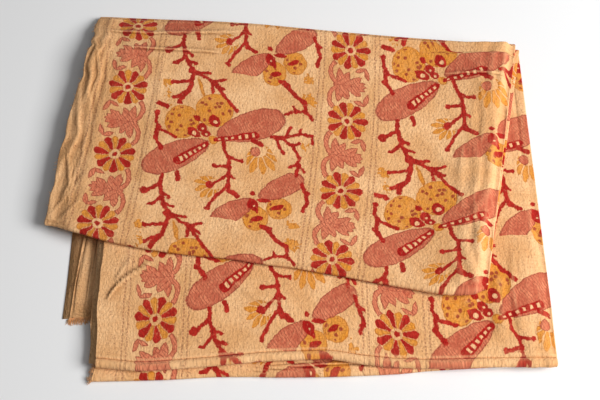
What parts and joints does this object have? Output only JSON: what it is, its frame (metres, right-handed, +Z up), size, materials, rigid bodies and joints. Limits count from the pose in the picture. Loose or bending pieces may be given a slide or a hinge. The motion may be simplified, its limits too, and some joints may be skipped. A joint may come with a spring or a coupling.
{
  "type": "folded block print cloth",
  "caption": "Block-printed cotton cloth, folded in half along its length and back and forth across it, lying in an uneven stack with a turned flap on top.",
  "frame": {"origin": "under the middle of the folded stack's outline, at the level of the surface that it lies on", "axes": "+Z up, +X towards the lengthwise fold, -Y towards the stack's front folds"},
  "size_m": [0.5003, 0.4173, 0.0242],
  "materials": {
    "printed_cotton": "matt hand-woven cotton, warm beige, with a block print in crimson, brick red and ochre"
  },
  "bodies": {
    "root": {"cloth": "printed_cotton"}
  },
  "joints": []
}
